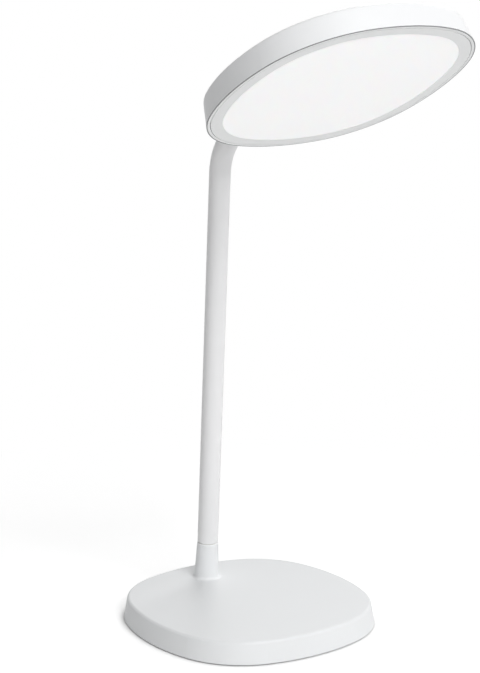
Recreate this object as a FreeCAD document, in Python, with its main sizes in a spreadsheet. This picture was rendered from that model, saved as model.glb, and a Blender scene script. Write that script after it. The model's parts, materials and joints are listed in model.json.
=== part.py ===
import FreeCAD, Part
import math
import os
import re
import Sketcher

# A light therapy lamp for a desk: a weighted base with bulged sides, a leaning tube that bends
# over at its top, and a thin head with a white diffuser that tilts on a hinge behind it.
# Millimetres and degrees. The origin is the centre of the base's underside, +Z is up and the
# head reaches forward, towards -Y. The lamp is symmetric about X = 0.

SIZES = {
    # Base cover: an outline of four side arcs and four corner arcs, drawn in towards its top.
    "base_width": 200.0,
    "base_side_radius": 153.0,
    "base_corner_radius": 72.0,
    "base_height": 18.9,
    "base_draft": 3.0,
    "base_edge_radius": 2.6,
    "base_wall": 2.5,
    # Foot pad, floor plate and the weight that lies on it.
    "foot_height": 1.0,
    "foot_inset": 2.5,
    "plate_thickness": 2.0,
    "plate_clearance": 0.2,
    "ballast_width": 130.0,
    "ballast_length": 100.0,
    "ballast_thickness": 9.0,
    "ballast_y": -25.0,
    "ballast_corner": 10.0,
    # Ribs under the roof that hold the floor plate down.
    "base_rib_x": 76.0,
    "base_rib_y": 42.0,
    "base_rib_thickness": 2.0,
    "base_rib_length": 16.0,
    # Power inlet, its board and what stands on the board.
    "board_thickness": 1.6,
    "board_width": 76.0,
    "board_length": 14.0,
    "board_rear_gap": 10.0,
    "inlet_width": 9.0,
    "inlet_length": 11.5,
    "inlet_height": 10.4,
    "inlet_rear_gap": 6.0,
    "inlet_nose_radius": 4.0,
    "inlet_nose_length": 4.0,
    "inlet_hole_clearance": 0.15,
    "inlet_bore_radius": 2.8,
    "inlet_bore_depth": 10.0,
    "inlet_pin_radius": 1.0,
    "inlet_pin_recess": 0.5,
    "choke_width": 12.0,
    "choke_height": 8.0,
    "choke_x": 27.0,
    "capacitor_radius": 4.0,
    "capacitor_height": 9.0,
    "capacitor_x": 22.0,
    "capacitor_pitch": 10.0,
    # Boss on the base and the swivel inside it.
    "stem_inset": 35.5,
    "stem_lean": 3.47,
    "boss_height": 32.0,
    "boss_top_radius": 9.2,
    "boss_foot_radius": 10.9,
    "boss_chamfer": 0.7,
    "boss_fillet": 2.5,
    "bush_radius": 7.0,
    "bush_flange_radius": 8.2,
    "bush_flange": 0.5,
    "collar_radius": 15.0,
    "collar_depth": 4.0,
    "stop_ring_radius": 11.4,
    "stop_ring_depth": 2.6,
    "swivel_range": 45.0,
    "stop_gap": 0.7,
    "spigot_radius": 5.5,
    "spigot_plug_length": 20.0,
    "thread_radius": 5.0,
    "thread_end": 13.0,
    "lead_bore": 2.8,
    "lead_width": 4.6,
    "lead_thickness": 2.0,
    "key_washer_radius": 11.0,
    "key_washer_thickness": 1.5,
    "key_tab_radius": 14.6,
    "key_tab_width": 5.0,
    "stem_nut_radius": 9.2,
    "stem_nut_height": 5.0,
    "running_gap": 0.05,
    # Tube.
    "tube_radius": 9.0,
    "tube_wall": 1.5,
    "tube_edge": 0.8,
    "bend_start": 355.2,
    "bend_radius": 42.0,
    # Knuckle on the end of the tube, and the hinge that carries the head.
    "knuckle_reach": 12.5,
    "knuckle_neck_radius": 7.9,
    "knuckle_plug_radius": 7.2,
    "knuckle_plug_length": 4.0,
    "barrel_radius": 8.5,
    "barrel_width": 17.9,
    "lead_bore_depth": 6.0,
    "bolt_radius": 3.0,
    "bolt_head_radius": 5.2,
    "bolt_head_height": 3.0,
    "hinge_nut_radius": 5.4,
    "counterbore_radius": 5.6,
    "counterbore_depth": 3.2,
    "ear_radius": 9.0,
    "ear_thickness": 6.0,
    "head_tilt": 28.43,
    "hinge_clear": 10.1,
    "hinge_rise": 19.7,
    # Bracket on the back of the head.
    "bracket_width": 50.0,
    "bracket_front_y": 60.0,
    "bracket_rear_y": 92.5,
    "bracket_thickness": 3.5,
    "bracket_corner": 5.0,
    "clevis_front_y": 68.0,
    "clevis_slope": 12.0,
    "clevis_slot_gap": 0.8,
    # Head: outline, shell, bezel and diffuser.
    "head_width": 198.1,
    "head_side_radius": 141.0,
    "head_corner_radius": 81.0,
    "head_depth": 20.8,
    "head_draft": 3.2,
    "head_back_radius": 3.0,
    "head_lip": 2.8,
    "back_wall": 2.2,
    "bezel_seam": 0.5,
    "bezel_width": 9.2,
    "bezel_thickness": 2.0,
    "diffuser_clearance": 0.1,
    "diffuser_recess": 0.2,
    "diffuser_flange": 1.5,
    "stack_inset": 8.0,
    "tray_depth": 8.7,
    "tray_rim": 4.0,
    "tray_slope": 4.0,
    # Light source and its carrier.
    "led_board_width": 121.0,
    "led_board_thickness": 1.2,
    "heat_plate_thickness": 1.5,
    "led_size": 5.0,
    "led_height": 0.8,
    "led_pitch": 22.0,
    "led_count": 6.0,
    # Ribs inside the back that press the plate against the tray.
    "head_rib_x": 50.0,
    "head_rib_thickness": 2.0,
    "head_rib_length": 16.0,
    # Controls on the back of the head.
    "control_board_width": 76.0,
    "control_board_length": 30.0,
    "control_board_thickness": 1.2,
    "switch_size": 6.0,
    "switch_height": 1.1,
    "plunger_size": 2.8,
    "plunger_height": 0.7,
    "button_y": 40.0,
    "button_pitch": 24.0,
    "power_button_radius": 6.5,
    "dimming_button_radius": 5.5,
    "button_clearance": 0.25,
    "button_flange": 0.9,
    "button_flange_rim": 1.2,
    "button_flange_gap": 0.1,
    "button_proud": 1.2,
}

DERIVED = {
    "base_half": "base_width / 2",
    "cover_height": "base_height - foot_height",
    "plate_inset": "base_wall + base_draft * plate_thickness / cover_height + plate_clearance",
    "plate_top": "foot_height + plate_thickness",
    "roof_under": "base_height - base_wall",
    "board_top": "plate_top + board_thickness",
    "inlet_axis_z": "board_top + inlet_height / 2",
    "board_y": "base_half - board_rear_gap - board_length / 2",
    "inlet_rear_y": "base_half - inlet_rear_gap",
    "stem_y": "base_half - stem_inset",
    "seam_top": "boss_height + bush_flange + running_gap",
    "washer_top": "collar_depth + running_gap",
    "nut_top": "washer_top + key_washer_thickness",
    "tube_bore": "tube_radius - tube_wall",
    "bend_turn": "90 - stem_lean",
    "arm_y": "stem_y - bend_start * sin(stem_lean) - bend_radius * cos(stem_lean)",
    "arm_z": "base_height + bend_start * cos(stem_lean) + bend_radius * (1 - sin(stem_lean))",
    "hinge_y": "arm_y - knuckle_reach",
    "head_half": "head_width / 2",
    "hinge_out": "head_half + hinge_clear",
    "face_y": "hinge_y - hinge_out * cos(head_tilt) - hinge_rise * sin(head_tilt)",
    "face_z": "arm_z + hinge_out * sin(head_tilt) - hinge_rise * cos(head_tilt)",
    "barrel_half": "barrel_width / 2",
    "ear_inner": "barrel_half + running_gap",
    "ear_outer": "ear_inner + ear_thickness",
    "bezel_inset": "head_lip + bezel_seam",
    "window_inset": "bezel_inset + bezel_width",
    "tray_top": "bezel_thickness + diffuser_flange",
    "heat_plate_top": "tray_top + tray_depth",
    "led_board_top": "heat_plate_top - led_board_thickness",
    "control_board_top": "heat_plate_top + heat_plate_thickness",
    "switch_top": "control_board_top + control_board_thickness",
    "back_under": "head_depth - back_wall",
    "bracket_top": "head_depth + bracket_thickness",
    "clevis_top": "hinge_rise + ear_radius",
    "clevis_slot_y": "hinge_out - barrel_radius - clevis_slot_gap",
    "button_flange_top": "back_under - button_flange_gap",
}

# A frame is the point where its own axes start, and its turn about X.
FRAMES = {
    "base": ("0", "0", "0"),
    "stem": ("stem_y", "base_height", "stem_lean"),
    "arm": ("hinge_y", "arm_z", "0"),
    "head": ("face_y", "face_z", "-head_tilt"),
}

doc = FreeCAD.newDocument("light_therapy_lamp")
sheet = doc.addObject("Spreadsheet::Sheet", "Sizes")
cells = [(alias, str(number)) for alias, number in SIZES.items()]
cells += [(alias, "=" + formula) for alias, formula in DERIVED.items()]
for row, (alias, content) in enumerate(cells, start=1):
    sheet.set(f"A{row}", alias)
    sheet.set(f"B{row}", content)
    sheet.setAlias(f"B{row}", alias)
doc.recompute()

ALIASES = set(SIZES) | set(DERIVED)
subparts = []


def in_sheet(text):
    """The expression with each size's name pointing at its cell."""
    return re.sub(r"[a-z_]+", lambda word: "Sizes." + word[0] if word[0] in ALIASES else word[0], text)


def value(text):
    """What the expression comes to at the sheet's present sizes."""
    return float(sheet.evalExpression(in_sheet(text)))


def bind(thing, path, text):
    """Tie a property or a named constraint of a feature to an expression on the sheet."""
    thing.setExpression(path, in_sheet(text))


def place(thing, frame):
    """Put a sub-part into one of the frames, and list it as a sub-part."""
    along_y, along_z, turn = FRAMES[frame]
    if frame != "base":
        thing.Placement = FreeCAD.Placement(FreeCAD.Vector(), FreeCAD.Rotation(FreeCAD.Vector(1, 0, 0), 1))
        bind(thing, "Placement.Base.y", along_y)
        bind(thing, "Placement.Base.z", along_z)
        bind(thing, "Placement.Rotation.Angle", turn)
    subparts.append(thing)


def new_body(label, frame):
    """An empty body that carries its node's name."""
    body = doc.addObject("PartDesign::Body", label)
    body.Label = label
    place(body, frame)
    return body


def sketch_on(body, plane, x="0", y="0", z="0", turn=None):
    """A sketch on one of the body's own origin planes, moved by x, y in it and z off it."""
    sketch = body.newObject("Sketcher::SketchObject", body.Label + "_sketch")
    planes = [feature for feature in body.Origin.OriginFeatures if feature.Role == plane]
    sketch.AttachmentSupport = [(planes[0], "")]
    sketch.MapMode = "FlatFace"
    if turn:
        turned = FreeCAD.Rotation(FreeCAD.Vector(0, 0, 1), 1)
        sketch.AttachmentOffset = FreeCAD.Placement(FreeCAD.Vector(), turned)
        bind(sketch, "AttachmentOffset.Rotation.Angle", turn)
    for axis, text in (("x", x), ("y", y), ("z", z)):
        if text != "0":
            bind(sketch, "AttachmentOffset.Base." + axis, text)
    return sketch


def hold(sketch, geometry, end, x, y):
    """Hold one point of the geometry at x, y from the sketch's origin."""
    for kind, text, axis in (("DistanceX", x, -2), ("DistanceY", y, -1)):
        if text == "0":
            sketch.addConstraint(Sketcher.Constraint("PointOnObject", geometry, end, axis))
        else:
            rule = Sketcher.Constraint(kind, -1, 1, geometry, end, value(text))
            number = sketch.addConstraint(rule)
            name = f"{kind}_{geometry}_{end}"
            sketch.renameConstraint(number, name)
            bind(sketch, "Constraints." + name, text)


def hold_radius(sketch, geometry, text):
    """Hold the radius of an arc or a circle."""
    number = sketch.addConstraint(Sketcher.Constraint("Radius", geometry, value(text)))
    sketch.renameConstraint(number, f"radius_{geometry}")
    bind(sketch, f"Constraints.radius_{geometry}", text)


def circle(sketch, radius, x="0", y="0"):
    """A circle held at its centre."""
    centre = FreeCAD.Vector(value(x), value(y), 0)
    ring = sketch.addGeometry(Part.Circle(centre, FreeCAD.Vector(0, 0, 1), value(radius)))
    hold_radius(sketch, ring, radius)
    hold(sketch, ring, 3, x, y)


def outline(sketch, corners):
    """A closed outline of straight lines through the corners."""
    points = [FreeCAD.Vector(value(x), value(y), 0) for x, y in corners]
    lines = []
    for first, second in zip(points, points[1:] + points[:1]):
        lines.append(sketch.addGeometry(Part.LineSegment(first, second)))
    for line, following in zip(lines, lines[1:] + lines[:1]):
        sketch.addConstraint(Sketcher.Constraint("Coincident", line, 2, following, 1))
    for line, (x, y) in zip(lines, corners):
        hold(sketch, line, 1, x, y)


def rectangle(sketch, low_x, low_y, high_x, high_y):
    """A rectangle between two corners."""
    outline(sketch, [(low_x, low_y), (high_x, low_y), (high_x, high_y), (low_x, high_y)])


def bulged_square(sketch, family, inset):
    """The lamp's outline: four flat side arcs joined by four tighter corner arcs, all tangent.

    family is "base" or "head", and inset moves the whole outline inwards, parallel to itself."""
    half = f"{family}_half - ({inset})"
    side = f"{family}_side_radius - ({inset})"
    corner = f"{family}_corner_radius - ({inset})"
    side_centre = value(half) - value(side)
    spread = value(side) - value(corner)
    corner_centre = (side_centre + math.sqrt(2 * spread**2 - side_centre**2)) / 2
    side_turn = math.atan2(corner_centre, corner_centre - side_centre)
    arcs = []
    for quarter in range(4):
        turned = FreeCAD.Rotation(FreeCAD.Vector(0, 0, 1), 90 * quarter)
        start = quarter * math.pi / 2
        pieces = (
            (FreeCAD.Vector(side_centre, 0, 0), value(side), -side_turn, side_turn),
            (FreeCAD.Vector(corner_centre, corner_centre, 0), value(corner), side_turn, math.pi / 2 - side_turn),
        )
        for centre, radius, low, high in pieces:
            whole = Part.Circle(turned.multVec(centre), FreeCAD.Vector(0, 0, 1), radius)
            arcs.append(sketch.addGeometry(Part.ArcOfCircle(whole, start + low, start + high)))
    for arc, following in zip(arcs, arcs[1:] + arcs[:1]):
        sketch.addConstraint(Sketcher.Constraint("Tangent", arc, 2, following, 1))
    offset = f"{family}_half - {family}_side_radius"
    centres = ((offset, "0"), ("0", offset), (f"-({offset})", "0"), ("0", f"-({offset})"))
    for arc, (x, y) in zip(arcs[0::2], centres):
        hold(sketch, arc, 3, x, y)
        hold_radius(sketch, arc, side)
    for arc in arcs[1::2]:
        hold_radius(sketch, arc, corner)


def extrude(body, kind, sketch, length, back=False, both=False, draft=None):
    """A Pad or a Pocket of a sketch; back turns it over, both spreads it to either side."""
    feature = body.newObject("PartDesign::" + kind, body.Label + "_" + kind.lower())
    feature.Profile = sketch
    bind(feature, "Length", length)
    feature.Reversed = back
    if both:
        feature.SideType = "Symmetric"
    if draft:
        bind(feature, "TaperAngle", draft)
    doc.recompute()
    return feature


def spin(body, kind, sketch, angle=None):
    """A Revolution or a Groove about the sketch's upright axis; a part turn is centred on the sketch."""
    feature = body.newObject("PartDesign::" + kind, body.Label + "_" + kind.lower())
    feature.Profile = sketch
    feature.ReferenceAxis = (sketch, ["V_Axis"])
    if angle:
        feature.Midplane = True
        bind(feature, "Angle", angle)
    doc.recompute()
    return feature


def edges_where(feature, test):
    """Names of the feature's edges whose ends and middle all pass the test."""
    names = []
    for number, edge in enumerate(feature.Shape.Edges, start=1):
        middle = edge.valueAt((edge.FirstParameter + edge.LastParameter) / 2)
        points = [vertex.Point for vertex in edge.Vertexes] + [middle]
        if all(test(point) for point in points):
            names.append(f"Edge{number}")
    return names


def edges_upright(feature, low, high):
    """Names of the straight edges that run from the low face to the high one."""
    names = []
    for number, edge in enumerate(feature.Shape.Edges, start=1):
        heights = sorted(vertex.Point.z for vertex in edge.Vertexes)
        if len(heights) == 2 and close(heights[0], low) and close(heights[1], high):
            names.append(f"Edge{number}")
    return names


def dress(body, kind, base, test, size):
    """A Fillet or a Chamfer on the edges that pass the test."""
    names = edges_where(base, test)
    if not names:
        raise ValueError(f"{body.Label}: no edge to {kind.lower()}")
    feature = body.newObject("PartDesign::" + kind, body.Label + "_" + kind.lower())
    feature.Base = (base, names)
    bind(feature, "Radius" if kind == "Fillet" else "Size", size)
    doc.recompute()
    return feature


def mirror(body, originals, plane):
    """The features again on the other side of one of the body's origin planes."""
    planes = [feature for feature in body.Origin.OriginFeatures if feature.Role == plane]
    feature = body.newObject("PartDesign::Mirrored", body.Label + "_mirror")
    feature.Originals = originals
    feature.MirrorPlane = (planes[0], [""])
    body.Tip = feature
    doc.recompute()
    return feature


def mirror_twice(body, originals):
    """The features again on the other side of X = 0, of Y = 0 and of both."""
    feature = body.newObject("PartDesign::MultiTransform", body.Label + "_mirrors")
    feature.Originals = originals
    steps = []
    for plane in ("YZ_Plane", "XZ_Plane"):
        planes = [origin for origin in body.Origin.OriginFeatures if origin.Role == plane]
        step = body.newObject("PartDesign::Mirrored", body.Label + "_mirror")
        step.MirrorPlane = (planes[0], [""])
        steps.append(step)
    feature.Transformations = steps
    body.Tip = feature
    doc.recompute()
    return feature


def close(here, there):
    return abs(here - there) < 0.01


def make_base_cover():
    """Moulded shell of the base, with the flared boss, the swivel's stops and four ribs."""
    body = new_body("base_cover", "base")
    draft = "-atan(base_draft / cover_height)"
    top = value("base_height")
    skirt = sketch_on(body, "XY_Plane", z="foot_height")
    bulged_square(skirt, "base", "0")
    block = extrude(body, "Pad", skirt, "cover_height", draft=draft)
    rounded = dress(body, "Fillet", block, lambda point: close(point.z, top), "base_edge_radius")
    hollow = sketch_on(body, "XY_Plane", z="foot_height")
    bulged_square(hollow, "base", "base_wall")
    extrude(body, "Pocket", hollow, "cover_height - base_wall", back=True, draft=draft)
    boss = sketch_on(body, "YZ_Plane", x="stem_y", y="base_height", turn="stem_lean")
    shoulder = "collar_radius * sin(stem_lean) + 0.2"
    outline(boss, [
        ("0", "-collar_depth"),
        ("collar_radius", "-collar_depth"),
        ("collar_radius", f"-({shoulder})"),
        ("boss_foot_radius", f"-({shoulder})"),
        ("boss_foot_radius", "0"),
        ("boss_top_radius", "boss_height"),
        ("0", "boss_height"),
    ])
    turned = spin(body, "Revolution", boss)
    foot = value("stem_y")
    reach = 1.5 * value("boss_foot_radius")
    turned = dress(body, "Fillet", turned, lambda point: close(point.z, top)
                   and math.hypot(point.x, point.y - foot) < reach, "boss_fillet")
    lean = math.radians(value("stem_lean"))

    def on_seam(point):
        along = (point.z - top) * math.cos(lean) - (point.y - foot) * math.sin(lean)
        return close(along, value("boss_height"))

    dress(body, "Chamfer", turned, on_seam, "boss_chamfer")
    bore = sketch_on(body, "YZ_Plane", x="stem_y", y="base_height", turn="stem_lean")
    rectangle(bore, "0", "-2 * collar_depth", "bush_radius", "boss_height + 1")
    spin(body, "Groove", bore)
    stops = sketch_on(body, "YZ_Plane", x="stem_y", y="base_height", turn="stem_lean")
    rectangle(stops, "-stop_ring_radius", "-collar_depth - stop_ring_depth", "-collar_radius",
              "-collar_depth + 0.5")
    half_window = "(swivel_range + stop_gap) * 1 deg + asin(key_tab_width / 2 / stop_ring_radius)"
    spin(body, "Revolution", stops, angle=f"360 deg - 2 * ({half_window})")
    section = sketch_on(body, "XY_Plane", x="base_rib_x", y="base_rib_y", z="plate_top")
    rectangle(section, "-base_rib_thickness / 2", "-base_rib_length / 2", "base_rib_thickness / 2",
              "base_rib_length / 2")
    rib = extrude(body, "Pad", section, "roof_under - plate_top + 0.5")
    mirror_twice(body, [rib])
    hole = sketch_on(body, "XZ_Plane", z="-base_half - 1")
    circle(hole, "inlet_nose_radius + inlet_hole_clearance", "0", "inlet_axis_z")
    extrude(body, "Pocket", hole, "base_wall + base_draft + 3", back=True)


def make_base_plate():
    """Steel floor plate that closes the cover from below."""
    body = new_body("base_plate", "base")
    sketch = sketch_on(body, "XY_Plane", z="foot_height")
    bulged_square(sketch, "base", "plate_inset")
    extrude(body, "Pad", sketch, "plate_thickness")


def make_foot_pad():
    """Soft sheet under the plate that the lamp stands on, set in so that it shows as a thin line."""
    body = new_body("foot_pad", "base")
    sketch = sketch_on(body, "XY_Plane")
    bulged_square(sketch, "base", "foot_inset")
    extrude(body, "Pad", sketch, "foot_height")


def make_ballast_plate():
    """Cast weight on the floor plate, under the head's reach."""
    body = new_body("ballast_plate", "base")
    sketch = sketch_on(body, "XY_Plane", y="ballast_y", z="plate_top")
    rectangle(sketch, "-ballast_width / 2", "-ballast_length / 2", "ballast_width / 2", "ballast_length / 2")
    block = extrude(body, "Pad", sketch, "ballast_thickness")
    low = value("plate_top")
    high = value("plate_top + ballast_thickness")
    upright = edges_upright(block, low, high)
    feature = body.newObject("PartDesign::Fillet", "ballast_corners")
    feature.Base = (block, upright)
    bind(feature, "Radius", "ballast_corner")
    doc.recompute()


def make_power_inlet():
    """Barrel socket on the board, with its nose in the rear wall and a contact pin inside."""
    body = new_body("dc_inlet", "base")
    block = sketch_on(body, "XY_Plane", z="board_top")
    rectangle(block, "-inlet_width / 2", "inlet_rear_y - inlet_length", "inlet_width / 2", "inlet_rear_y")
    extrude(body, "Pad", block, "inlet_height")
    nose = sketch_on(body, "XZ_Plane", z="-inlet_rear_y")
    circle(nose, "inlet_nose_radius", "0", "inlet_axis_z")
    extrude(body, "Pad", nose, "inlet_nose_length", back=True)
    mouth = sketch_on(body, "XZ_Plane", z="-inlet_rear_y - inlet_nose_length")
    circle(mouth, "inlet_bore_radius", "0", "inlet_axis_z")
    extrude(body, "Pocket", mouth, "inlet_bore_depth", back=True)
    pin = new_body("dc_inlet_pin", "base")
    tip = sketch_on(pin, "XZ_Plane", z="-inlet_rear_y - inlet_nose_length + inlet_pin_recess")
    circle(tip, "inlet_pin_radius", "0", "inlet_axis_z")
    extrude(pin, "Pad", tip, "inlet_bore_depth - inlet_pin_recess")


def make_driver():
    """Board of the power supply, with its square choke and two capacitors."""
    board = new_body("driver_board", "base")
    sheet_sketch = sketch_on(board, "XY_Plane", y="board_y", z="plate_top")
    rectangle(sheet_sketch, "-board_width / 2", "-board_length / 2", "board_width / 2", "board_length / 2")
    extrude(board, "Pad", sheet_sketch, "board_thickness")
    parts = new_body("driver_parts", "base")
    choke = sketch_on(parts, "XY_Plane", x="-choke_x", y="board_y", z="board_top")
    rectangle(choke, "-choke_width / 2", "-choke_width / 2", "choke_width / 2", "choke_width / 2")
    extrude(parts, "Pad", choke, "choke_height")
    cans = sketch_on(parts, "XY_Plane", y="board_y", z="board_top")
    circle(cans, "capacitor_radius", "capacitor_x", "0")
    circle(cans, "capacitor_radius", "capacitor_x + capacitor_pitch", "0")
    extrude(parts, "Pad", cans, "capacitor_height")


def make_stem_bush():
    """Flanged bush pressed into the boss; the tube turns on its flange."""
    body = new_body("stem_bush", "stem")
    sketch = sketch_on(body, "YZ_Plane")
    outline(sketch, [
        ("spigot_radius + running_gap", "-collar_depth"),
        ("bush_radius", "-collar_depth"),
        ("bush_radius", "boss_height"),
        ("bush_flange_radius", "boss_height"),
        ("bush_flange_radius", "boss_height + bush_flange"),
        ("spigot_radius + running_gap", "boss_height + bush_flange"),
    ])
    spin(body, "Revolution", sketch)


def make_stem_spigot():
    """Hollow turned spigot: its plug is pressed into the tube and its shaft turns in the bush."""
    body = new_body("stem_spigot", "stem")
    sketch = sketch_on(body, "YZ_Plane")
    outline(sketch, [
        ("lead_bore", "-thread_end"),
        ("thread_radius", "-thread_end"),
        ("thread_radius", "-washer_top"),
        ("spigot_radius", "-washer_top"),
        ("spigot_radius", "seam_top"),
        ("tube_bore", "seam_top"),
        ("tube_bore", "seam_top + spigot_plug_length"),
        ("lead_bore", "seam_top + spigot_plug_length"),
    ])
    spin(body, "Revolution", sketch)


def make_swivel_clamp():
    """Key washer with the stop tab, and the nut that draws it up under the boss's collar."""
    key = new_body("key_washer", "stem")
    disc = sketch_on(key, "XY_Plane", z="-washer_top")
    circle(disc, "key_washer_radius")
    extrude(key, "Pad", disc, "key_washer_thickness", back=True)
    tab = sketch_on(key, "XY_Plane", z="-washer_top")
    rectangle(tab, "-key_tab_width / 2", "thread_radius + 1", "key_tab_width / 2", "key_tab_radius")
    extrude(key, "Pad", tab, "key_washer_thickness", back=True)
    bore = sketch_on(key, "XY_Plane", z="-washer_top")
    circle(bore, "thread_radius")
    extrude(key, "Pocket", bore, "key_washer_thickness")
    prism = doc.addObject("Part::Prism", "stem_nut_prism")
    prism.Polygon = 6
    bind(prism, "Circumradius", "stem_nut_radius")
    bind(prism, "Height", "stem_nut_height")
    thread = doc.addObject("Part::Cylinder", "stem_nut_thread")
    bind(thread, "Radius", "thread_radius")
    bind(thread, "Height", "stem_nut_height")
    for piece in (prism, thread):
        bind(piece, "Placement.Base.z", "-nut_top - stem_nut_height")
    nut = doc.addObject("Part::Cut", "stem_nut")
    nut.Label = "stem_nut"
    nut.Base = prism
    nut.Tool = thread
    place(nut, "stem")


def stem_path(body, start, end_run=None):
    """Path up the tube's centre line, over the bend and a little beyond it."""
    path = sketch_on(body, "YZ_Plane")
    low = FreeCAD.Vector(0, value(start), 0)
    knee = FreeCAD.Vector(0, value("bend_start"), 0)
    radius = value("bend_radius")
    turn = math.radians(value("bend_turn"))
    centre = FreeCAD.Vector(-radius, knee.y, 0)
    rise = path.addGeometry(Part.LineSegment(low, knee))
    whole = Part.Circle(centre, FreeCAD.Vector(0, 0, 1), radius)
    bend = path.addGeometry(Part.ArcOfCircle(whole, 0, turn))
    hold(path, rise, 1, "0", start)
    path.addConstraint(Sketcher.Constraint("Tangent", rise, 2, bend, 1))
    hold(path, bend, 3, "-bend_radius", "bend_start")
    end_x = "-bend_radius + bend_radius * cos(bend_turn)"
    number = path.addConstraint(Sketcher.Constraint("DistanceX", -1, 1, bend, 2, value(end_x)))
    path.renameConstraint(number, "bend_end")
    bind(path, "Constraints.bend_end", end_x)
    if end_run:
        ahead = FreeCAD.Vector(-math.sin(turn), math.cos(turn), 0)
        tip = centre + FreeCAD.Vector(math.cos(turn), math.sin(turn), 0) * radius
        run = path.addGeometry(Part.LineSegment(tip, tip + ahead * value(end_run)))
        path.addConstraint(Sketcher.Constraint("Tangent", bend, 2, run, 1))
        number = path.addConstraint(Sketcher.Constraint("Distance", run, value(end_run)))
        path.renameConstraint(number, "end_run")
        bind(path, "Constraints.end_run", end_run)
    return path


def sweep(body, profile, path):
    """A pipe of the profile along the path."""
    feature = body.newObject("PartDesign::AdditivePipe", body.Label + "_pipe")
    feature.Profile = profile
    feature.Spine = path
    doc.recompute()
    return feature


def make_stem_tube():
    """Bent tube, with its lower outer edge broken where it meets the boss."""
    body = new_body("stem_tube", "stem")
    path = stem_path(body, "seam_top")
    rings = sketch_on(body, "XY_Plane", z="seam_top")
    circle(rings, "tube_radius")
    circle(rings, "tube_bore")
    tube = sweep(body, rings, path)
    foot = value("seam_top")
    middle = value("tube_radius - tube_wall / 2")
    dress(body, "Chamfer", tube, lambda point: close(point.z, foot)
          and math.hypot(point.x, point.y) > middle, "tube_edge")


def make_stem_lead():
    """Flat two-core lead inside the tube, from below the spigot to the knuckle."""
    body = new_body("stem_lead", "stem")
    path = stem_path(body, "-thread_end", "lead_bore_depth")
    section = sketch_on(body, "XY_Plane", z="-thread_end")
    rectangle(section, "-lead_width / 2", "-lead_thickness / 2", "lead_width / 2", "lead_thickness / 2")
    sweep(body, section, path)


def make_arm_knuckle():
    """Knuckle on the tube's end: a plug, a neck and the barrel that the bolt runs through."""
    body = new_body("arm_knuckle", "arm")
    neck = sketch_on(body, "YZ_Plane", turn="-90")
    outline(neck, [
        ("0", "0"),
        ("knuckle_neck_radius", "0"),
        ("knuckle_neck_radius", "knuckle_reach"),
        ("knuckle_plug_radius", "knuckle_reach"),
        ("knuckle_plug_radius", "knuckle_reach + knuckle_plug_length"),
        ("0", "knuckle_reach + knuckle_plug_length"),
    ])
    spin(body, "Revolution", neck)
    barrel = sketch_on(body, "YZ_Plane")
    circle(barrel, "barrel_radius")
    extrude(body, "Pad", barrel, "barrel_width", both=True)
    bolt_bore = sketch_on(body, "YZ_Plane")
    circle(bolt_bore, "bolt_radius + running_gap")
    extrude(body, "Pocket", bolt_bore, "barrel_width + 2", both=True)
    lead_bore = sketch_on(body, "XZ_Plane", z="-knuckle_reach - knuckle_plug_length - 1")
    circle(lead_bore, "lead_bore")
    extrude(body, "Pocket", lead_bore, "knuckle_plug_length + lead_bore_depth + 1", back=True)


def make_hinge_hardware():
    """Bolt and nut of the hinge, each sunk in its ear of the bracket."""
    bolt = new_body("hinge_bolt", "arm")
    profile = sketch_on(bolt, "XZ_Plane", turn="-90")
    head_start = "ear_outer - counterbore_depth"
    outline(profile, [
        ("0", f"-({head_start}) - bolt_head_height"),
        ("bolt_radius", f"-({head_start}) - bolt_head_height"),
        ("bolt_radius", head_start),
        ("bolt_head_radius", head_start),
        ("bolt_head_radius", f"{head_start} + bolt_head_height"),
        ("0", f"{head_start} + bolt_head_height"),
    ])
    spin(bolt, "Revolution", profile)
    prism = doc.addObject("Part::Prism", "hinge_nut_prism")
    prism.Polygon = 6
    bind(prism, "Circumradius", "hinge_nut_radius")
    bind(prism, "Height", "bolt_head_height")
    thread = doc.addObject("Part::Cylinder", "hinge_nut_thread")
    bind(thread, "Radius", "bolt_radius")
    bind(thread, "Height", "bolt_head_height")
    for piece in (prism, thread):
        piece.Placement.Rotation = FreeCAD.Rotation(FreeCAD.Vector(0, 1, 0), -90)
        bind(piece, "Placement.Base.x", f"-({head_start})")
    nut = doc.addObject("Part::Cut", "hinge_nut")
    nut.Label = "hinge_nut"
    nut.Base = prism
    nut.Tool = thread
    place(nut, "arm")


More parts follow.
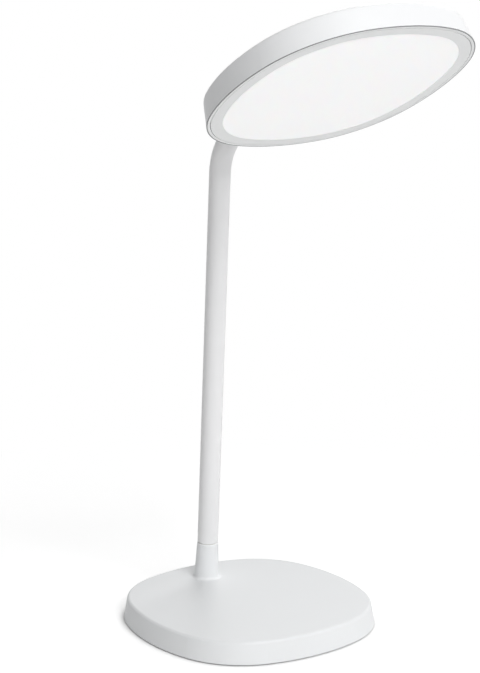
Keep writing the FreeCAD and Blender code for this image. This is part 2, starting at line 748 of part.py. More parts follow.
def make_hinge_bracket():
    """Bracket on the head's back: a screwed plate, a sloped block and the clevis for the knuckle."""
    body = new_body("hinge_bracket", "head")
    plate = sketch_on(body, "XY_Plane", z="head_depth")
    rectangle(plate, "-bracket_width / 2", "bracket_front_y", "bracket_width / 2", "bracket_rear_y")
    slab = extrude(body, "Pad", plate, "bracket_thickness")
    upright = edges_upright(slab, value("head_depth"), value("bracket_top"))
    corners = body.newObject("PartDesign::Fillet", "bracket_corners")
    corners.Base = (slab, upright)
    bind(corners, "Radius", "bracket_corner")
    doc.recompute()
    block = sketch_on(body, "YZ_Plane")
    flat_end = "hinge_out - sqrt(ear_radius ^ 2 - (head_depth - hinge_rise) ^ 2)"
    front = ("clevis_front_y", "head_depth")
    slope = ("clevis_front_y + clevis_slope", "clevis_top")
    start = FreeCAD.Vector(value(front[0]), value(front[1]), 0)
    ridge = FreeCAD.Vector(value(slope[0]), value(slope[1]), 0)
    pivot = FreeCAD.Vector(value("hinge_out"), value("hinge_rise"), 0)
    over = pivot + FreeCAD.Vector(0, value("ear_radius"), 0)
    under = FreeCAD.Vector(value(flat_end), value("head_depth"), 0)
    whole = Part.Circle(pivot, FreeCAD.Vector(0, 0, 1), value("ear_radius"))
    lift = math.atan2(under.y - pivot.y, under.x - pivot.x)
    back_arc = block.addGeometry(Part.ArcOfCircle(whole, lift, math.pi / 2))
    lines = []
    for first, second in ((over, ridge), (ridge, start), (start, under)):
        lines.append(block.addGeometry(Part.LineSegment(first, second)))
    block.addConstraint(Sketcher.Constraint("Tangent", back_arc, 2, lines[0], 1))
    for first, second in ((lines[0], lines[1]), (lines[1], lines[2]), (lines[2], back_arc)):
        block.addConstraint(Sketcher.Constraint("Coincident", first, 2, second, 1))
    hold(block, back_arc, 3, "hinge_out", "hinge_rise")
    hold_radius(block, back_arc, "ear_radius")
    hold(block, lines[1], 1, *slope)
    hold(block, lines[2], 1, *front)
    block.addConstraint(Sketcher.Constraint("Horizontal", lines[2]))
    extrude(body, "Pad", block, "2 * ear_outer", both=True)
    slot = sketch_on(body, "YZ_Plane")
    rectangle(slot, "clevis_slot_y", "head_depth - 2 * ear_radius", "hinge_out + 2 * ear_radius",
              "clevis_top + ear_radius")
    extrude(body, "Pocket", slot, "2 * ear_inner", both=True)
    bolt_bore = sketch_on(body, "YZ_Plane")
    circle(bolt_bore, "bolt_radius + running_gap", "hinge_out", "hinge_rise")
    extrude(body, "Pocket", bolt_bore, "2 * ear_outer + 2", both=True)
    seat = sketch_on(body, "YZ_Plane", z="ear_outer + 1")
    circle(seat, "counterbore_radius", "hinge_out", "hinge_rise")
    sink = extrude(body, "Pocket", seat, "counterbore_depth + 1")
    mirror(body, [sink], "YZ_Plane")


def button_places():
    """Name, radius and sideways place of each button on the head's back."""
    return (
        ("power_button", "power_button_radius", "0"),
        ("brighter_button", "dimming_button_radius", "button_pitch"),
        ("dimmer_button", "dimming_button_radius", "-button_pitch"),
    )


def make_head_shell():
    """Moulded tray of the head, open to the front, with ribs inside its back wall."""
    body = new_body("head_shell", "head")
    draft = "-atan(head_draft / head_depth)"
    rim = sketch_on(body, "XY_Plane")
    bulged_square(rim, "head", "0")
    block = extrude(body, "Pad", rim, "head_depth", draft=draft)
    back = value("head_depth")
    dress(body, "Fillet", block, lambda point: close(point.z, back), "head_back_radius")
    hollow = sketch_on(body, "XY_Plane")
    bulged_square(hollow, "head", "head_lip")
    extrude(body, "Pocket", hollow, "back_under", back=True, draft=draft)
    section = sketch_on(body, "XY_Plane", x="head_rib_x", y="head_rib_x", z="control_board_top")
    rectangle(section, "-head_rib_thickness / 2", "-head_rib_length / 2", "head_rib_thickness / 2",
              "head_rib_length / 2")
    rib = extrude(body, "Pad", section, "back_under - control_board_top + 0.5")
    mirror_twice(body, [rib])
    holes = sketch_on(body, "XY_Plane", z="head_depth + 1")
    for _, radius, x in button_places():
        circle(holes, f"{radius} + button_clearance", x, "button_y")
    extrude(body, "Pocket", holes, "back_wall + 2")


def make_bezel_ring():
    """Grey ring between the rim and the diffuser."""
    body = new_body("bezel_ring", "head")
    sketch = sketch_on(body, "XY_Plane")
    bulged_square(sketch, "head", "bezel_inset")
    extrude(body, "Pad", sketch, "bezel_thickness")
    window = sketch_on(body, "XY_Plane")
    bulged_square(window, "head", "window_inset")
    extrude(body, "Pocket", window, "bezel_thickness", back=True)


def make_diffuser():
    """Milky panel: a flange behind the bezel and a raised field that fills its window."""
    body = new_body("diffuser", "head")
    flange = sketch_on(body, "XY_Plane", z="bezel_thickness")
    bulged_square(flange, "head", "stack_inset")
    extrude(body, "Pad", flange, "diffuser_flange")
    field = sketch_on(body, "XY_Plane", z="diffuser_recess")
    bulged_square(field, "head", "window_inset + diffuser_clearance")
    extrude(body, "Pad", field, "bezel_thickness - diffuser_recess")


def make_reflector_tray():
    """White frame with sloped inner walls that throws the side light forward."""
    body = new_body("reflector_tray", "head")
    block = sketch_on(body, "XY_Plane", z="tray_top")
    bulged_square(block, "head", "stack_inset")
    extrude(body, "Pad", block, "tray_depth")
    cone = sketch_on(body, "XY_Plane", z="tray_top")
    bulged_square(cone, "head", "stack_inset + tray_rim")
    extrude(body, "Pocket", cone, "tray_depth", back=True, draft="-atan(tray_slope / tray_depth)")


def make_light_panel():
    """Aluminium plate on the tray's back, and the board in front of it with its field of chips."""
    plate = new_body("heat_plate", "head")
    plate_sketch = sketch_on(plate, "XY_Plane", z="heat_plate_top")
    bulged_square(plate_sketch, "head", "stack_inset")
    extrude(plate, "Pad", plate_sketch, "heat_plate_thickness")
    board = new_body("led_board", "head")
    sheet_sketch = sketch_on(board, "XY_Plane", z="led_board_top")
    rectangle(sheet_sketch, "-led_board_width / 2", "-led_board_width / 2", "led_board_width / 2",
              "led_board_width / 2")
    extrude(board, "Pad", sheet_sketch, "led_board_thickness")
    chips = new_body("led_chips", "head")
    first = "-(led_count - 1) / 2 * led_pitch"
    chip = sketch_on(chips, "XY_Plane", x=first, y=first, z="led_board_top - led_height")
    rectangle(chip, "-led_size / 2", "-led_size / 2", "led_size / 2", "led_size / 2")
    die = extrude(chips, "Pad", chip, "led_height")
    field = chips.newObject("PartDesign::MultiTransform", "led_field")
    field.Originals = [die]
    rows = []
    for axis in ("X_Axis", "Y_Axis"):
        line = [feature for feature in chips.Origin.OriginFeatures if feature.Role == axis][0]
        row = chips.newObject("PartDesign::LinearPattern", "led_row")
        row.Direction = (line, [""])
        bind(row, "Length", "(led_count - 1) * led_pitch")
        bind(row, "Occurrences", "led_count")
        rows.append(row)
    field.Transformations = rows
    chips.Tip = field
    doc.recompute()


def make_controls():
    """Control board with three switches, and the buttons that press them through the back."""
    board = new_body("control_board", "head")
    sheet_sketch = sketch_on(board, "XY_Plane", y="button_y", z="control_board_top")
    rectangle(sheet_sketch, "-control_board_width / 2", "-control_board_length / 2",
              "control_board_width / 2", "control_board_length / 2")
    extrude(board, "Pad", sheet_sketch, "control_board_thickness")
    switches = new_body("tact_switches", "head")
    cases = sketch_on(switches, "XY_Plane", y="button_y", z="switch_top")
    plungers = sketch_on(switches, "XY_Plane", y="button_y", z="switch_top")
    for _, _, x in button_places():
        rectangle(cases, f"{x} - switch_size / 2", "-switch_size / 2", f"{x} + switch_size / 2",
                  "switch_size / 2")
        rectangle(plungers, f"{x} - plunger_size / 2", "-plunger_size / 2", f"{x} + plunger_size / 2",
                  "plunger_size / 2")
    extrude(switches, "Pad", cases, "switch_height")
    extrude(switches, "Pad", plungers, "switch_height + plunger_height")
    for label, radius, x in button_places():
        button = new_body(label, "head")
        profile = sketch_on(button, "XZ_Plane", x=x, z="-button_y")
        outline(profile, [
            ("0", "button_flange_top - button_flange"),
            (f"{radius} + button_flange_rim", "button_flange_top - button_flange"),
            (f"{radius} + button_flange_rim", "button_flange_top"),
            (radius, "button_flange_top"),
            (radius, "head_depth + button_proud"),
            ("0", "head_depth + button_proud"),
        ])
        spin(button, "Revolution", profile)


make_base_cover()
make_base_plate()
make_foot_pad()
make_ballast_plate()
make_power_inlet()
make_driver()
make_stem_bush()
make_stem_spigot()
make_swivel_clamp()
make_stem_tube()
make_stem_lead()
make_arm_knuckle()
make_hinge_hardware()
make_hinge_bracket()
make_head_shell()
make_bezel_ring()
make_diffuser()
make_reflector_tray()
make_light_panel()
make_controls()

doc.recompute()
for thing in doc.Objects:
    if "Invalid" in thing.State or "Error" in thing.State:
        raise ValueError(f"{thing.Label} did not recompute: {thing.State}")
for piece in subparts:
    if piece.Shape.isNull() or not piece.Shape.isValid():
        raise ValueError(f"{piece.Label} has no valid shape")
os.makedirs("parts", exist_ok=True)
for piece in subparts:
    piece.Shape.exportStep(f"parts/{piece.Label}.step")
    box = piece.Shape.BoundBox
    print(f"{piece.Label}: {len(piece.Shape.Solids)} solids, {piece.Shape.Volume / 1000:.2f} cm3,"
          f" z {box.ZMin:.1f} to {box.ZMax:.1f}")
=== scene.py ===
# %% [markdown]
# # A light therapy lamp
# A weighted base, a leaning tube that bends over at its top, and a thin head with a milky panel.
# The construction comes from the packed model, already at its real size. This lesson gives each
# part its finish, adds the small things a mould or a printer adds, and lights the lamp softly.

# %% Load the packed model
import json
import math

import bpy
from mathutils import Matrix, Quaternion, Vector

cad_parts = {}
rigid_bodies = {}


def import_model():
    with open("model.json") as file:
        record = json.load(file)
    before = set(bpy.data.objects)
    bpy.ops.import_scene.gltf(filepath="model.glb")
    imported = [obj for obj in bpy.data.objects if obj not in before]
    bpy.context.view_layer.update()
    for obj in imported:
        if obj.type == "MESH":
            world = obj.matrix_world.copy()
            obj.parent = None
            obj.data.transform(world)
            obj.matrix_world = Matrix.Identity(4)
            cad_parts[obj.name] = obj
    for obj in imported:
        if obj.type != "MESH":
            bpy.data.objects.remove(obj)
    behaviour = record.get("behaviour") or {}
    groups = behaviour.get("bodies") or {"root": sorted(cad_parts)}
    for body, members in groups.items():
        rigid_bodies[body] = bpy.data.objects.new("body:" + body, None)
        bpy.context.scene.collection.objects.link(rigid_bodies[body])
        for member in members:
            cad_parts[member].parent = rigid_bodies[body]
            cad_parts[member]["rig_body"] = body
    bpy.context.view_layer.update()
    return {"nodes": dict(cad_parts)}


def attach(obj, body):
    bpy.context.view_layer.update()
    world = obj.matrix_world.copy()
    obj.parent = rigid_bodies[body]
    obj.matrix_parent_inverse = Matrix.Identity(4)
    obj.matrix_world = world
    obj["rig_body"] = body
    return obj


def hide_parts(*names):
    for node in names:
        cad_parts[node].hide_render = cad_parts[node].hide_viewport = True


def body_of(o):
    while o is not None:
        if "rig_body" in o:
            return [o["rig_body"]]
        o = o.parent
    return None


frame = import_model()
nodes = frame["nodes"]

# %% [markdown]
# ## The camera
# A photograph is reproduced only from the place it was taken from. The viewpoint was worked out
# from the outlines of the base, the head and the tube: where it stands, how far it looks down,
# and how long its lens is in pixels of a 480 by 673 picture. Blender's lens is in millimetres on
# a 36 mm sensor, and the sensor's width belongs to the picture's longer side.

# %% Place the camera
PICTURE_WIDTH, PICTURE_HEIGHT = 480, 673
FOCAL_PIXELS = 1658.85
SENSOR = 36.0
VIEW_AZIMUTH = math.radians(-34.578)
VIEW_PITCH = math.radians(11.011)
VIEW_ROLL = math.radians(0.089)
CAMERA_PLACE = Vector((-0.76341, -1.09400, 0.50277))

back = Vector((math.sin(VIEW_AZIMUTH) * math.cos(VIEW_PITCH),
               -math.cos(VIEW_AZIMUTH) * math.cos(VIEW_PITCH),
               math.sin(VIEW_PITCH)))
camera_data = bpy.data.cameras.new("camera")
camera_data.sensor_width = SENSOR
camera_data.lens = FOCAL_PIXELS * SENSOR / max(PICTURE_WIDTH, PICTURE_HEIGHT)
camera = bpy.data.objects.new("camera", camera_data)
camera.location = CAMERA_PLACE
camera.rotation_mode = "QUATERNION"
camera.rotation_quaternion = (-back).to_track_quat("-Z", "Y") @ Quaternion((0, 0, 1), VIEW_ROLL)
bpy.context.scene.collection.objects.link(camera)
bpy.context.scene.camera = camera
print("lens in mm:", round(camera_data.lens, 2))

# %% [markdown]
# ## Writing shaders as sums
# A material is a tree of nodes joined by wires. Wrapping a socket in a small class lets the tree
# be written as arithmetic: `2 * mask` adds a Math node. Every other node comes from `node`,
# which sets the node's own settings first and then fills or links its sockets.


# %% A socket that can be calculated with
class Signal:
    """An output socket of one material's tree."""

    def __init__(self, tree, socket=None):
        self.tree = tree
        self.socket = socket

    def node(self, kind, inputs, settings=None, output=0):
        """Add a node and return one of its outputs, chosen by number or name."""
        made = self.tree.nodes.new("ShaderNode" + kind)
        for name, setting in (settings or {}).items():
            setattr(made, name, setting)
        for name, content in inputs.items():
            named = [socket for socket in made.inputs if name in (socket.identifier, socket.name)]
            target = made.inputs[name] if isinstance(name, int) else named[0]
            if isinstance(content, Signal):
                self.tree.links.new(content.socket, target)
            else:
                target.default_value = content
        return Signal(self.tree, made.outputs[output])

    def math(self, operation, other=0.0):
        return self.node("Math", {0: self, 1: other}, {"operation": operation})

    def __add__(self, other):
        return self.math("ADD", other)

    def __sub__(self, other):
        return self.math("SUBTRACT", other)

    def __mul__(self, other):
        return self.math("MULTIPLY", other)

    __radd__ = __add__
    __rmul__ = __mul__


print("a signal has:", [name for name in vars(Signal) if not name.startswith("_")])

# %% [markdown]
# ## One recipe for a finish
# Moulded plastic, paint and metal differ in a few numbers, but each real surface also has a grain
# that breaks up its gloss and a slow drift of tone. A painted picture could carry them, but it
# would need an unwrapped surface and would show its seams. So `finish` makes both from noise in
# the part's own coordinates, which stays on the part when it moves, and sends them to the colour,
# the roughness and the bump.

# %% The recipe
COLOUR_RESULT = 2
DRIFT_SCALE = 14.0
GRAIN_STRENGTH = 0.6
ROUGHER_BY_GRAIN, ROUGHER_BY_DRIFT = 0.12, 0.10


def blend_colours(factor, first, second):
    """Go from the first colour to the second; each is a signal or three numbers."""
    first, second = [shade if isinstance(shade, Signal) else (*shade, 1)
                     for shade in (first, second)]
    return factor.node("Mix", {"Factor_Float": factor, "A_Color": first, "B_Color": second},
                       {"data_type": "RGBA"}, COLOUR_RESULT)


def finish(name, colour, roughness, grain=900.0, depth=0.00002, drift=0.015, stretch=(1, 1, 1),
           metallic=0.0, overpaint=None, **constants):
    """A material whose grain is per metre and whose depth is in metres."""
    material = bpy.data.materials.new(name)
    material.use_nodes = True
    tree = material.node_tree
    shader = tree.nodes["Principled BSDF"]
    place = Signal(tree).node("TexCoord", {}, output="Object")
    place = place.node("Mapping", {"Vector": place, "Scale": stretch})
    fine = place.node("TexNoise", {"Vector": place, "Scale": grain, "Detail": 3.0})
    slow = place.node("TexNoise", {"Vector": place, "Scale": DRIFT_SCALE, "Detail": 2.0})
    darker = [max(0.0, channel * (1 - drift)) for channel in colour]
    lighter = [min(1.0, channel * (1 + drift)) for channel in colour]
    tone = blend_colours(slow, darker, lighter)
    if overpaint:
        tone = overpaint(place, tone)
    rough = roughness + ROUGHER_BY_GRAIN * (fine - 0.5) + ROUGHER_BY_DRIFT * (slow - 0.5)
    bump = fine.node("Bump", {"Height": fine, "Distance": depth, "Strength": GRAIN_STRENGTH})
    tree.links.new(tone.socket, shader.inputs["Base Color"])
    tree.links.new(rough.socket, shader.inputs["Roughness"])
    tree.links.new(bump.socket, shader.inputs["Normal"])
    shader.inputs["Metallic"].default_value = metallic
    for socket, content in constants.items():
        shader.inputs[socket.replace("_", " ")].default_value = content
    return material


print("tone drifts over mm:", round(1000 / DRIFT_SCALE, 1))


# %% [markdown]
# ## The painted shadow round the panel
# In the photograph the shell's front edge is a thin dark line, and the lip inside it has the
# bezel's tone. The line could be a thin ring of its own, but it is the shadow in the narrow seam at
# the edge, so the shell's material paints it as painted shade. Both follow the outline, a square
# with bulged sides and rounder corners, whose distance comes from two circles, one for a side and
# one for a corner.

# %% Paint that follows the outline of the head
HEAD_TURN = math.radians(28.43)
HEAD_PLACE = Vector((0, -0.116787, 0.447547))
# Millimetres, as everything in the head's own frame.
HEAD_HALF, SIDE_RADIUS, CORNER_RADIUS = 99.05, 141.0, 81.0
LIP_DEPTH = 0.15
# The seam's painted shadow: how far it reaches in on the face and up the side, in mm, and its dark
# tone.
SHADOW_ON_FACE, SHADOW_UP_SIDE = 0.85, 0.5
SEAM_SHADOW_TONE = (0.20, 0.205, 0.21)
BEZEL_SHADE = (0.87, 0.878, 0.878)
side_centre = HEAD_HALF - SIDE_RADIUS
spread = SIDE_RADIUS - CORNER_RADIUS
corner_centre = (side_centre + math.sqrt(2 * spread ** 2 - side_centre ** 2)) / 2
print("centres of the outline's arcs in mm:", round(side_centre, 2), round(corner_centre, 2))


def outline_distance(across, along):
    """How far a point of the front lies outside the head's outline."""
    major, minor = across.math("MAXIMUM", along), across.math("MINIMUM", along)

    def outside(centre_u, centre_v, radius):
        u, v = major - centre_u, minor - centre_v
        return (u * u + v * v).math("SQRT") - radius

    side = outside(side_centre, 0.0, SIDE_RADIUS)
    corner = outside(corner_centre, corner_centre, CORNER_RADIUS)
    lean = minor * (corner_centre - side_centre) - (major - side_centre) * corner_centre
    return side + lean.math("GREATER_THAN") * (corner - side)


def lip_and_shadow_paint(place, tone):
    """The tone of the shell, with its front lip in the bezel's tone and a painted shadow along its
    edge.
    """
    local = place.node("Mapping", {"Vector": place, "Location": HEAD_PLACE,
                                   "Rotation": (-HEAD_TURN, 0, 0)}, {"vector_type": "TEXTURE"})
    across, along, height = [1000.0 * local.node("SeparateXYZ", {0: local}, output=axis)
                             for axis in "XYZ"]
    distance = outline_distance(across.math("ABSOLUTE"), along.math("ABSOLUTE"))
    on_lip = height.math("LESS_THAN", LIP_DEPTH)
    # The band at the edge gets painted shade, standing for the shadow in the seam.
    in_seam_shadow = distance.math("GREATER_THAN", -SHADOW_ON_FACE) * height.math("LESS_THAN", SHADOW_UP_SIDE)
    return blend_colours(in_seam_shadow, blend_colours(on_lip, tone, BEZEL_SHADE), SEAM_SHADOW_TONE)


# %% [markdown]
# ## Moulded plastic
# The base, the head's shell, the bracket and the buttons are satin injection mouldings. A spark
# eroded mould leaves a fine even grain, which is what keeps their highlights soft. The grain is
# too fine to be modelled, so it is a bump. The tones differ a little because the photograph's do.

# %% Finish the mouldings
def dress(material, *names):
    """Give the material to CAD nodes."""
    for name in names:
        nodes[name].data.materials.clear()
        nodes[name].data.materials.append(material)
    print(material.name, "on", ", ".join(names))


base_plastic = finish("base_plastic", (0.785, 0.797, 0.805), 0.46, grain=1400.0, depth=0.000015)
# The shell's paint carries the painted shadow of the seam along its front edge.
head_plastic = finish("head_plastic", (0.79, 0.797, 0.805), 0.42, grain=1400.0, depth=0.000015,
                      overpaint=lip_and_shadow_paint)
bezel_plastic = finish("bezel_plastic", BEZEL_SHADE, 0.50, grain=1800.0, depth=0.000012)
trim_plastic = finish("trim_plastic", (0.74, 0.745, 0.755), 0.45, grain=1400.0, depth=0.000015)
button_plastic = finish("button_plastic", (0.62, 0.63, 0.645), 0.55, grain=1200.0, depth=0.00002)
dress(base_plastic, "base_cover")
dress(head_plastic, "head_shell")
dress(bezel_plastic, "bezel_ring")
dress(trim_plastic, "hinge_bracket")
dress(button_plastic, "power_button", "brighter_button", "dimmer_button")

# %% [markdown]
# ## Powder coat
# The tube and its knuckle are steel under baked powder. The powder flows a little before it sets,
# so its ripple, the orange peel, is far coarser than the grain of a mould. A weak clear coat over
# the same recipe gives the second, sharper gloss that a powder coat has.

# %% Finish the painted steel
powder_coat = finish("powder_coat", (0.79, 0.79, 0.795), 0.36, grain=420.0, depth=0.00002,
                     Coat_Weight=0.15, Coat_Roughness=0.25)
plate_paint = finish("plate_paint", (0.07, 0.072, 0.076), 0.55, grain=700.0, depth=0.00003)
dress(powder_coat, "stem_tube", "arm_knuckle")
dress(plate_paint, "base_plate")

# %% [markdown]
# ## The milky panel
# The diffuser is acrylic with scattering filler: light wanders inside it and comes out evenly.
# Real glass nodes would need many more samples for the same look. Subsurface scattering gives the
# softness, and a faint emission stands for light that comes back through it from the white tray.

# %% Finish the diffuser
milky_panel = finish("milky_panel", (0.90, 0.90, 0.90), 0.50, grain=2600.0, depth=0.000008,
                     drift=0.004, Subsurface_Weight=0.35, Subsurface_Scale=0.004,
                     Emission_Color=(1.0, 1.0, 1.0, 1.0), Emission_Strength=0.21)
dress(milky_panel, "diffuser")

# %% [markdown]
# ## Rubber, metal and the parts inside
# The foot sheet is soft dark rubber. Turned and plated metal shows the tool's fine lines, which a
# noise stretched along one axis gives without a line being drawn. The parts inside are finished
# too, with the same recipe, for whoever takes the lamp apart.

# %% Finish everything else
foot_rubber = finish("foot_rubber", (0.035, 0.035, 0.037), 0.80, grain=1600.0, depth=0.00004)
inlet_black = finish("inlet_black", (0.018, 0.018, 0.020), 0.45, grain=1500.0)
plated_steel = finish("plated_steel", (0.60, 0.61, 0.63), 0.30, grain=500.0, depth=0.00001,
                      stretch=(1, 1, 12), metallic=1.0)
cast_iron = finish("cast_iron", (0.10, 0.10, 0.105), 0.75, grain=350.0, depth=0.0002,
                   metallic=0.6)
rolled_aluminium = finish("rolled_aluminium", (0.72, 0.73, 0.74), 0.38, grain=300.0,
                          stretch=(1, 20, 1), metallic=1.0)
nylon = finish("nylon", (0.72, 0.72, 0.68), 0.50)
white_reflector = finish("white_reflector", (0.88, 0.88, 0.88), 0.60)
green_board = finish("green_board", (0.02, 0.14, 0.05), 0.35, grain=600.0)
black_parts = finish("black_parts", (0.03, 0.03, 0.033), 0.40)
lamp_resin = finish("lamp_resin", (0.85, 0.72, 0.25), 0.20)
lead_jacket = finish("lead_jacket", (0.70, 0.70, 0.69), 0.60)
dress(foot_rubber, "foot_pad")
dress(inlet_black, "dc_inlet", "tact_switches")
dress(plated_steel, "dc_inlet_pin", "stem_spigot", "key_washer", "stem_nut", "hinge_bolt",
      "hinge_nut")
dress(cast_iron, "ballast_plate")
dress(rolled_aluminium, "heat_plate")
dress(nylon, "stem_bush")
dress(white_reflector, "reflector_tray", "led_board")
dress(green_board, "driver_board", "control_board")
dress(black_parts, "driver_parts")
dress(lamp_resin, "led_chips")
dress(lead_jacket, "stem_lead")

# %% [markdown]
# ## Small solids from layers
# Screws and printed marks are too small for the construction, so they are made here. A modelling
# tool could draw them one by one, but each is only an outline at a few heights. `skin` closes a
# solid through such layers, in millimetres in the head's own frame: X across, Y towards the
# hinge, Z out of the back. A recess is cut with a second solid.

# %% Solids from layers
HEAD_FRAME = (Matrix.Translation(HEAD_PLACE) @ Matrix.Rotation(-HEAD_TURN, 4, "X")
              @ Matrix.Scale(0.001, 4))


def skin(name, layers, place, material, body=None):
    """A closed solid through layers, each an outline and its height, placed in the head's frame."""
    to_world = HEAD_FRAME @ place
    points = [to_world @ Vector((x, y, height)) for outline, height in layers for x, y in outline]
    count = len(layers[0][0])
    rings = [range(start, start + count) for start in range(0, len(points), count)]
    faces = [[lower[k - 1], lower[k], upper[k], upper[k - 1]]
             for lower, upper in zip(rings, rings[1:]) for k in range(count)]
    faces += [list(reversed(rings[0])), list(rings[-1])]
    mesh = bpy.data.meshes.new(name)
    mesh.from_pydata(points, [], faces)
    mesh.materials.append(material)
    made = bpy.data.objects.new(name, mesh)
    bpy.context.scene.collection.objects.link(made)
    if body:
        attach(made, body)
    return made


def cut(target, cutter):
    """Take the cutter's solid out of the target's mesh."""
    modifier = target.modifiers.new("cut", "BOOLEAN")
    modifier.object = cutter
    bpy.context.view_layer.update()
    graph = bpy.context.evaluated_depsgraph_get()
    target.data = bpy.data.meshes.new_from_object(target.evaluated_get(graph))
    target.modifiers.clear()
    bpy.data.objects.remove(cutter)


print("head's frame stands at:", [round(number, 4) for number in HEAD_FRAME.translation])

# %% [markdown]
# ## Four screws
# The bracket is held on the shell by four pan-head screws with a cross recess, the kind that goes
# into plastic bosses. A pan head is turned from a profile, and its cross is pressed in, so here a
# plus-shaped solid is cut out of it. Each stands at a turn of its own, as a screwdriver leaves it.

# %% Screws
def arc(radius, first, last, count):
    """Points on an arc, both of its ends included."""
    turns = [first + (last - first) * step / (count - 1) for step in range(count)]
    return [(radius * math.cos(turn), radius * math.sin(turn)) for turn in turns]


def circle(radius, sides):
    return arc(radius, 0.0, 2 * math.pi, sides + 1)[:sides]


def plus(arm, width):
    """The outline of a plus sign."""
    half = width / 2
    corners = [(arm, -half), (arm, half), (half, half)]
    turned = list(corners)
    for _ in range(3):
        corners = [(-y, x) for x, y in corners]
        turned += corners
    return turned


def body_under(node):
    return body_of(nodes[node])[0]


BRACKET_TOP = 24.3
SCREW_PLACES = [(x, y) for x in (-19.5, 19.5) for y in (66.0, 86.5)]
SCREW_SIDES, SCREW_TURN = 32, 0.4
PAN_PROFILE = [(2.6, -0.2), (2.6, 0.7), (2.42, 1.15), (2.0, 1.48), (1.2, 1.68), (0.5, 1.72)]
CROSS_ARM, CROSS_WIDTH, CROSS_FLOOR, CROSS_END = 1.35, 0.55, 0.7, 2.5
for number, (x, y) in enumerate(SCREW_PLACES, 1):
    turn = Matrix.Rotation(SCREW_TURN * number, 4, "Z")
    place = Matrix.Translation((x, y, BRACKET_TOP)) @ turn
    pan = [(circle(radius, SCREW_SIDES), height) for radius, height in PAN_PROFILE]
    cross = plus(CROSS_ARM, CROSS_WIDTH)
    screw = skin(f"bracket_screw_{number}", pan, place, plated_steel)
    cut(screw, skin("recess", [(cross, CROSS_FLOOR), (cross, CROSS_END)], place, plated_steel))
    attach(screw, body_under("hinge_bracket"))
print("screws:", len(SCREW_PLACES), "faces of the last:", len(screw.data.polygons))

# %% [markdown]
# ## The key's socket in the hinge bolt
# The bolt sets the hinge's friction and takes a hex key. A CAD piece may not be changed here. The
# construction has its head without a socket, so a copy with the socket cut into it stands for it,
# and the original is hidden.

# %% The hinge bolt
BOLT_FACE = (14.8, 109.15, 19.7)
HEX_RADIUS, HEX_FLOOR, HEX_END = 2.3, -2.2, 1.0
bolt = bpy.data.objects.new("hinge_bolt_with_socket", nodes["hinge_bolt"].data.copy())
bpy.context.scene.collection.objects.link(bolt)
into_bolt = Matrix.Translation(BOLT_FACE) @ Matrix.Rotation(math.pi / 2, 4, "Y")
key = circle(HEX_RADIUS, 6)
cut(bolt, skin("hex", [(key, HEX_FLOOR), (key, HEX_END)], into_bolt, plated_steel))
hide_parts("hinge_bolt")
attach(bolt, body_under("hinge_bolt"))
print("faces of the bolt:", len(nodes["hinge_bolt"].data.polygons), "->", len(bolt.data.polygons))

# %% [markdown]
# ## Marks on the buttons
# Power, brighter and dimmer are pad-printed signs. They could be a mask in the buttons' material,
# but ink has a thickness that catches the light at its edges, so each is a thin solid that sits
# in the button's top and rides on the button's own body.

# %% Marks on the buttons
def rectangle(left, low, right, high):
    return [(left, low), (right, low), (right, high), (left, high)]


mark_ink = finish("mark_ink", (0.10, 0.10, 0.105), 0.60, grain=2000.0, depth=0.000005)
BUTTON_TOP, INK = 22.0, 0.06
BUTTON_Y, BUTTON_PITCH = 40.0, 24.0
RING_OUTER, RING_INNER, RING_POINTS = 2.5, 2.05, 29
RING_GAP = math.radians(32)
BAR_LOW, BAR_HIGH = 0.4, 2.9
SIGN_ARM, SIGN_WIDTH, STROKE_HALF = 1.9, 0.45, 0.22
ring_ends = math.pi / 2 + RING_GAP, math.pi / 2 - RING_GAP + 2 * math.pi
ring = arc(RING_OUTER, *ring_ends, RING_POINTS) + arc(RING_INNER, *ring_ends, RING_POINTS)[::-1]
MARKS = [
    ("power_mark_ring", "power_button", 0, ring),
    ("power_mark_bar", "power_button", 0, rectangle(-STROKE_HALF, BAR_LOW, STROKE_HALF, BAR_HIGH)),
    ("brighter_mark", "brighter_button", BUTTON_PITCH, plus(SIGN_ARM, SIGN_WIDTH)),
    ("dimmer_mark", "dimmer_button", -BUTTON_PITCH,
     rectangle(-SIGN_ARM, -STROKE_HALF, SIGN_ARM, STROKE_HALF)),
]
for name, button, x, outline in MARKS:
    place = Matrix.Translation((x, BUTTON_Y, BUTTON_TOP))
    skin(name, [(outline, -INK), (outline, INK)], place, mark_ink, body_under(button))
print("marks:", len(MARKS))

# %% [markdown]
# ## The floor
# The lamp was photographed on white, with almost no floor to be seen. A bent paper sweep does that
# in a studio. Here a wide flat sheet is enough, because its paint can hide the horizon.

# %% The floor's sheet
FLOOR_HALF = 8.0
floor_mesh = bpy.data.meshes.new("floor")
corners = [(-FLOOR_HALF, -FLOOR_HALF, 0), (FLOOR_HALF, -FLOOR_HALF, 0),
           (FLOOR_HALF, FLOOR_HALF, 0), (-FLOOR_HALF, FLOOR_HALF, 0)]
floor_mesh.from_pydata(corners, [], [(0, 1, 2, 3)])
floor = bpy.data.objects.new("floor", floor_mesh)
bpy.context.scene.collection.objects.link(floor)
print("floor in m:", 2 * FLOOR_HALF)

# %% [markdown]
# ## The floor's paint
# A pale matt paint takes the shadow close to the base. Brighter lamps would turn it white, but
# would burn out the lamp as well. So, where the camera looks at it, a little glow of its own
# lifts it to white without throwing more light on the lamp. The glow fades where the base covers
# the floor, so the contact stays dark, and away from the lamp it takes over: no horizon shows.

# %% The floor's paint
SHADOW_REACH, CONTACT_REACH = 0.30, 0.006
FLOOR_TONE, FLOOR_GLOW = 0.80, 0.42
WHITE = (1, 1, 1, 1)


def rays_that_show(tree):
    """1 for the rays that make the floor or the room visible, directly or in a reflection."""
    ray = tree.nodes.new("ShaderNodeLightPath")
    camera_ray, glossy_ray, transmission_ray = [
        Signal(tree, ray.outputs[name])
        for name in ("Is Camera Ray", "Is Glossy Ray", "Is Transmission Ray")]
    return camera_ray + glossy_ray + transmission_ray


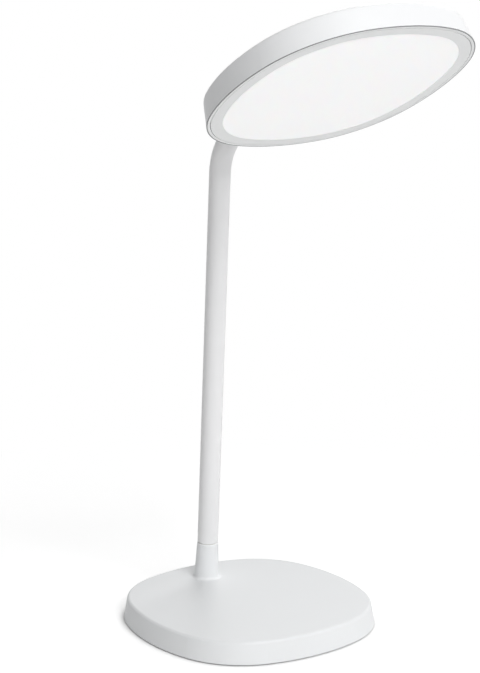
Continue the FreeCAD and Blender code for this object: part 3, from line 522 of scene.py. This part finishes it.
floor_paint = bpy.data.materials.new("floor_paint")
floor_paint.use_nodes = True
floor_tree = floor_paint.node_tree
floor_tree.nodes.clear()
paint = Signal(floor_tree)
seen = rays_that_show(floor_tree)
place = paint.node("TexCoord", {}, output="Object")
distance = paint.node("VectorMath", {0: place}, {"operation": "LENGTH"}, "Value")
far = paint.node("MapRange", {"Value": distance, "From Min": SHADOW_REACH,
                              "From Max": 2 * SHADOW_REACH}, {"interpolation_type": "SMOOTHSTEP"})
open_sky = paint.node("AmbientOcclusion", {"Distance": CONTACT_REACH}, {"samples": 8}, "AO")
matt = paint.node("BsdfDiffuse", {"Color": (FLOOR_TONE, FLOOR_TONE, FLOOR_TONE, 1)})
glow_strength = seen * open_sky * open_sky * FLOOR_GLOW
glow = paint.node("Emission", {"Color": WHITE, "Strength": glow_strength})
white = paint.node("Emission", {"Color": WHITE, "Strength": 1.0})
near_lamp = paint.node("AddShader", {0: matt, 1: glow})
both = paint.node("MixShader", {0: far * seen, 1: near_lamp, 2: white})
surface = floor_tree.nodes.new("ShaderNodeOutputMaterial")
floor_tree.links.new(both.socket, surface.inputs["Surface"])
floor_mesh.materials.append(floor_paint)
print("nodes of the floor's paint:", len(floor_tree.nodes))

# %% [markdown]
# ## The room
# White walls far away give an even light of a quarter of white. More of it would flatten the
# shades on the rims. To the camera and in reflections the room is full white, as the floor is.

# %% The room
ROOM_LIGHT = 0.25
world = bpy.data.worlds.new("room")
bpy.context.scene.world = world
world.use_nodes = True
background = world.node_tree.nodes["Background"]
strength = ROOM_LIGHT + rays_that_show(world.node_tree) * (1.0 - ROOM_LIGHT)
background.inputs["Color"].default_value = WHITE
world.node_tree.links.new(strength.socket, background.inputs["Strength"])
print("room's own light:", ROOM_LIGHT)

# %% [markdown]
# ## Soft boxes
# The brightest sides of the lamp face the camera and its right, and only the edges that turn away
# to the left are grey. So the main soft box stands a little to the right of the camera, a weak
# one at the camera fills the fronts, a third lights the right sides, and one behind on the right
# lights the far rims. Their powers were fitted to the tones of the photograph: light adds up, so
# one render per lamp was enough to find them.

# %% Soft boxes
LIT_POINT = Vector((0, -0.03, 0.27))
BOX_DISTANCE, BOX_SIZE = 2.2, 1.2
# Name, azimuth counted as the views are, height above the horizon, power in watts.
SOFT_BOXES = [("main_box", -5.0, 40.0, 29.2), ("front_box", -35.0, 8.0, 10.0),
              ("side_box", 70.0, 8.0, 8.5), ("rear_box", 130.0, 40.0, 14.5)]
for name, azimuth, height, power in SOFT_BOXES:
    turn, lift = math.radians(azimuth), math.radians(height)
    towards = Vector((math.sin(turn) * math.cos(lift), -math.cos(turn) * math.cos(lift),
                      math.sin(lift)))
    data = bpy.data.lights.new(name, "AREA")
    data.shape = "SQUARE"
    data.size = BOX_SIZE
    data.energy = power
    lamp = bpy.data.objects.new(name, data)
    lamp.location = LIT_POINT + towards * BOX_DISTANCE
    lamp.rotation_mode = "QUATERNION"
    lamp.rotation_quaternion = (-towards).to_track_quat("-Z", "Y")
    bpy.context.scene.collection.objects.link(lamp)

bpy.context.scene.view_settings.view_transform = "Standard"
print("soft boxes:", len(SOFT_BOXES), "power in W:", sum(box[3] for box in SOFT_BOXES))

# %% The end
bpy.context.view_layer.update()
